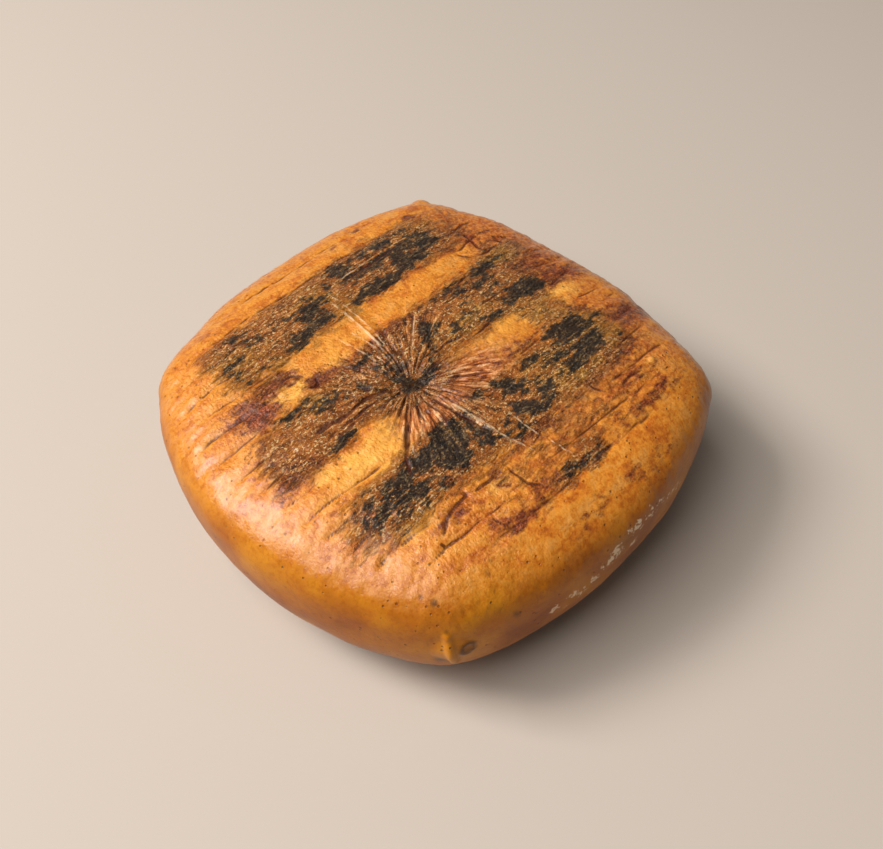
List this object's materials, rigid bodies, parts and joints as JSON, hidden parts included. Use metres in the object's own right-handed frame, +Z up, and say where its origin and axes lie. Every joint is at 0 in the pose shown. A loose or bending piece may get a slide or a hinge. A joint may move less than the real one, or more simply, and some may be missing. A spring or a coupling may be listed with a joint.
{
  "type": "mahon cheese",
  "caption": "Whole square cow's milk cheese with rounded sides, soft corners, cloth fold marks and a tied pucker on top.",
  "frame": {"origin": "on the table, under the middle of the cheese's box", "axes": "+Z up, +X along the fold marks, +Y across them towards the back edge"},
  "size_m": [0.2012, 0.1998, 0.0717],
  "materials": {
    "rind": "oiled golden orange cheese rind with brown crust and dark mould bands"
  },
  "bodies": {
    "root": {"cheese": "rind"}
  },
  "joints": []
}
